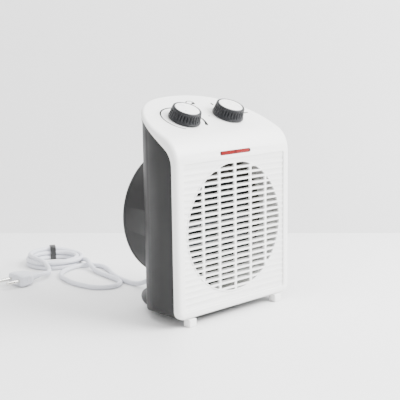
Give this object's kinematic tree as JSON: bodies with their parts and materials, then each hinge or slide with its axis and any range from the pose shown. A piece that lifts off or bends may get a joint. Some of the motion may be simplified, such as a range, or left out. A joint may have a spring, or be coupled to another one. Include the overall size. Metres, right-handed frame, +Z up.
{
  "type": "ceramic fan heater",
  "caption": "Compact free-standing fan heater: round slotted outlet, round rear intake, sloping top with two rotary dials, mains lead and plug.",
  "frame": {"origin": "middle of the footprint of the heater without its lead, on the surface it stands on", "axes": "+Z up, warm air leaves towards -Y, +X to the right seen from the front"},
  "size_m": [0.2245, 0.4058, 0.2513],
  "materials": {
    "white_shell": "satin moulded ABS",
    "dark_shell": "satin moulded ABS",
    "red_lens": "glossy translucent",
    "lamp_glass": "clear",
    "holder_plastic": "moulded nylon",
    "rubber": "matte",
    "duct_plastic": "heat resistant PBT",
    "mica": "dark mica board",
    "ptc_ceramic": "fired ceramic",
    "aluminium": "bare sheet",
    "sheet_steel": "zinc plated",
    "bright_steel": "zinc plated",
    "copper_winding": "enamelled copper",
    "brass": "bare",
    "black_plastic": "moulded",
    "fan_plastic": "moulded polypropylene",
    "bakelite": "phenolic",
    "knob_plastic": "satin, fluted",
    "cap_plastic": "satin",
    "wire_insulation": "silicone",
    "cord_pvc": "flexible PVC",
    "pin_metal": "nickel plated"
  },
  "bodies": {
    "body": {"front_shell": "white_shell", "front_grille": "white_shell", "front_feet": "white_shell", "pilot_lens": "red_lens", "lamp_holder": "holder_plastic", "pilot_lamp": "lamp_glass", "rear_shell": "dark_shell", "rear_grille": "dark_shell", "base_plinth": "dark_shell", "rubber_pads": "rubber", "air_duct": "duct_plastic", "fan_shroud": "duct_plastic", "heater_frame": "mica", "heater_insulators": "mica", "ptc_stones": "ptc_ceramic", "electrode_plates": "aluminium", "fin_packs": "aluminium", "thermal_cutout": "black_plastic", "thermal_fuse": "brass", "motor_mount": "sheet_steel", "motor_brackets": "sheet_steel", "motor_core": "sheet_steel", "motor_coil": "copper_winding", "motor_bushes": "brass", "motor_screws": "bright_steel", "thermostat_body": "bakelite", "thermostat_blade": "brass", "thermostat_nut": "bright_steel", "switch_body": "bakelite", "switch_tabs": "brass", "switch_nut": "bright_steel", "terminal_block": "holder_plastic", "internal_wiring": "wire_insulation", "inner_lead": "cord_pvc", "cord_saddle": "dark_shell", "cord_clamp": "black_plastic", "clamp_screws": "bright_steel", "shell_screws": "bright_steel", "duct_screws": "bright_steel", "heater_screws": "bright_steel", "base_screws": "bright_steel", "cord_bushing": "cord_pvc", "power_cord": "cord_pvc", "cord_coil": "cord_pvc", "cord_tie": "black_plastic", "plug_lead": "cord_pvc", "plug_body": "cord_pvc", "plug_pins": "pin_metal"},
    "thermostat_dial": {"thermostat_shaft": "bright_steel", "thermostat_knob": "knob_plastic", "thermostat_cap": "cap_plastic"},
    "selector_dial": {"switch_shaft": "bright_steel", "switch_knob": "knob_plastic", "switch_cap": "cap_plastic"},
    "fan": {"motor_shaft": "bright_steel", "motor_rotor": "sheet_steel", "fan_impeller": "fan_plastic", "impeller_clip": "bright_steel"}
  },
  "joints": [
    {"name": "thermostat_turn", "type": "hinge", "parent": "body", "child": "thermostat_dial", "pos_m": [-0.0354, -0.0073, 0.228], "axis": [0, -0.4067, 0.9135], "range_deg": [-290, 0]},
    {"name": "selector_turn", "type": "hinge", "parent": "body", "child": "selector_dial", "pos_m": [0.0354, -0.0073, 0.228], "axis": [0, -0.4067, 0.9135], "range_deg": [-180, 0]},
    {"name": "fan_spin", "type": "hinge", "parent": "body", "child": "fan", "pos_m": [0, 0, 0.108], "axis": [0, 1, 0], "continuous": true}
  ]
}
